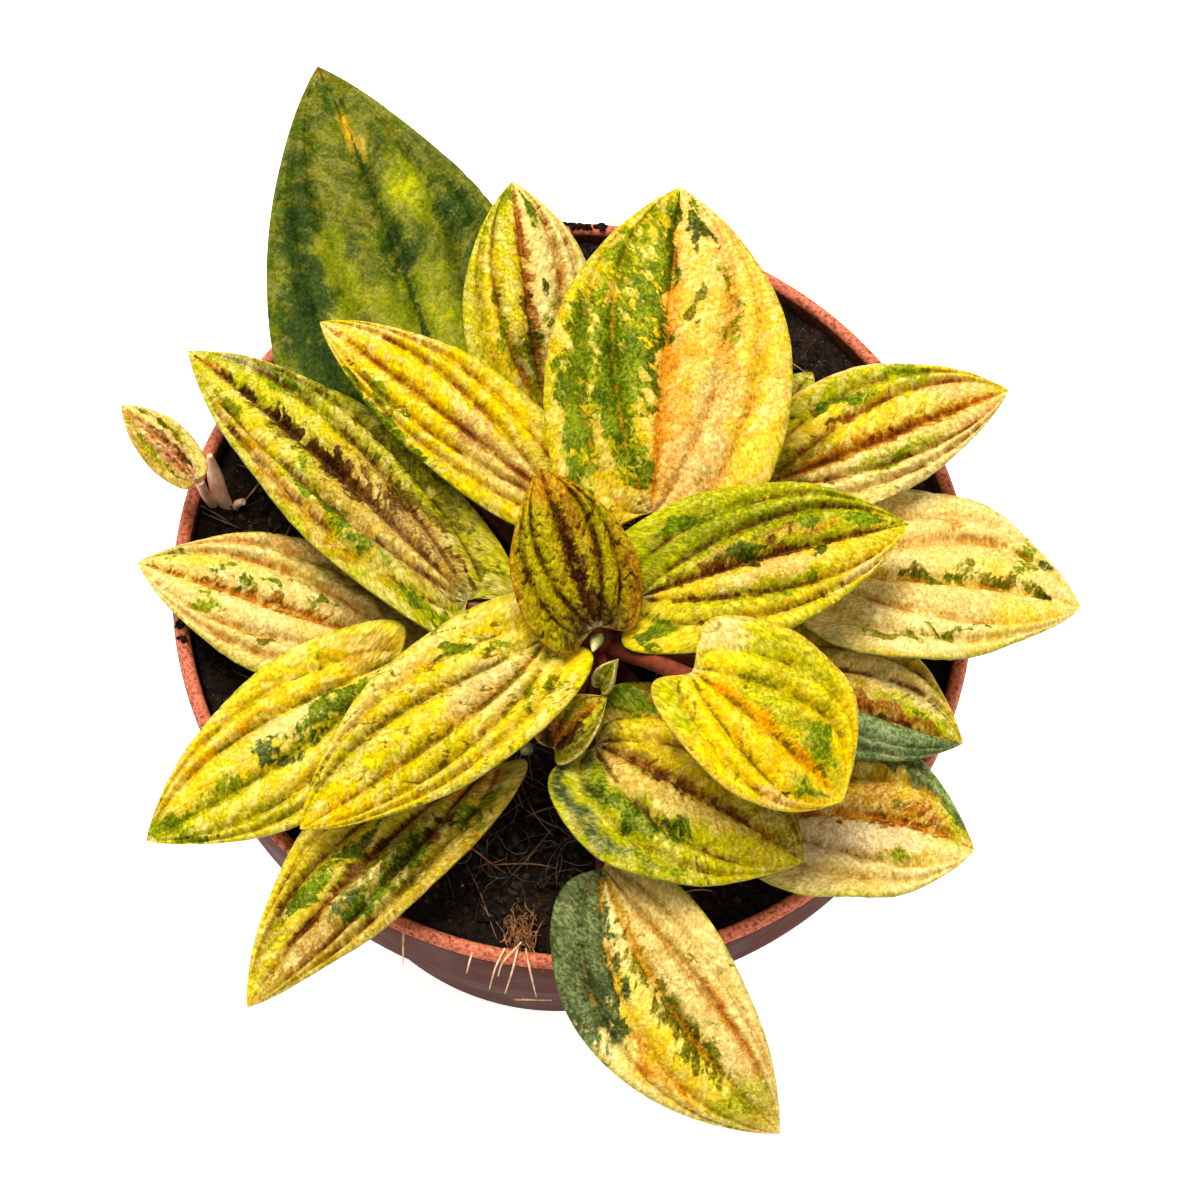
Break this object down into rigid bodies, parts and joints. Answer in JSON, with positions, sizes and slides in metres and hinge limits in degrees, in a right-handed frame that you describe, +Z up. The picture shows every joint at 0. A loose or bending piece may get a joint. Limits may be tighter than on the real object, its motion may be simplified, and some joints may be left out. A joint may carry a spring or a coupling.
{
  "type": "potted peperomia",
  "caption": "Small variegated peperomia: a low rosette of quilted, heart-shaped leaves on maroon stalks, growing in soil in a round tapered nursery pot that stands on its base.",
  "frame": {"origin": "centre of the pot's underside, on the surface that it stands on", "axes": "+Z up through the middle of the pot; the hanging front leaf points towards -Y and the old green leaf towards +Y and -X"},
  "size_m": [0.0942, 0.1092, 0.0913],
  "materials": {
    "pot_plastic": "satin moulded terracotta-coloured plastic",
    "peat": "rough, damp peat compost",
    "stalk": "smooth, slightly translucent maroon stalk",
    "leaf": "satin quilted leaf, yellow and green variegation",
    "old_leaf": "satin dark green leaf with paler blotches",
    "seedling": "satin pale cream and pink"
  },
  "bodies": {
    "root": {"pot": "pot_plastic", "soil": "peat", "crown_and_stalks": "stalk", "old_leaf_back_left": "old_leaf", "narrow_leaf_back": "leaf", "broad_leaf_back": "leaf", "upper_leaf_left": "leaf", "long_leaf_left": "leaf", "lower_leaf_left": "leaf", "leaf_front_left": "leaf", "upper_leaf_front_left": "leaf", "lower_leaf_front_left": "leaf", "centre_leaf": "leaf", "upper_leaf_right": "leaf", "leaf_back_right": "leaf", "leaf_right": "leaf", "lower_leaf_right": "leaf", "lower_leaf_front_right": "leaf", "cupped_leaf_front_right": "leaf", "leaf_front": "leaf", "hanging_leaf_front": "leaf", "hidden_leaf_back": "leaf", "young_curled_leaf": "leaf", "bud_leaf": "leaf", "seedling_leaf": "seedling", "seedling_stem_and_sprout": "seedling"}
  },
  "joints": []
}
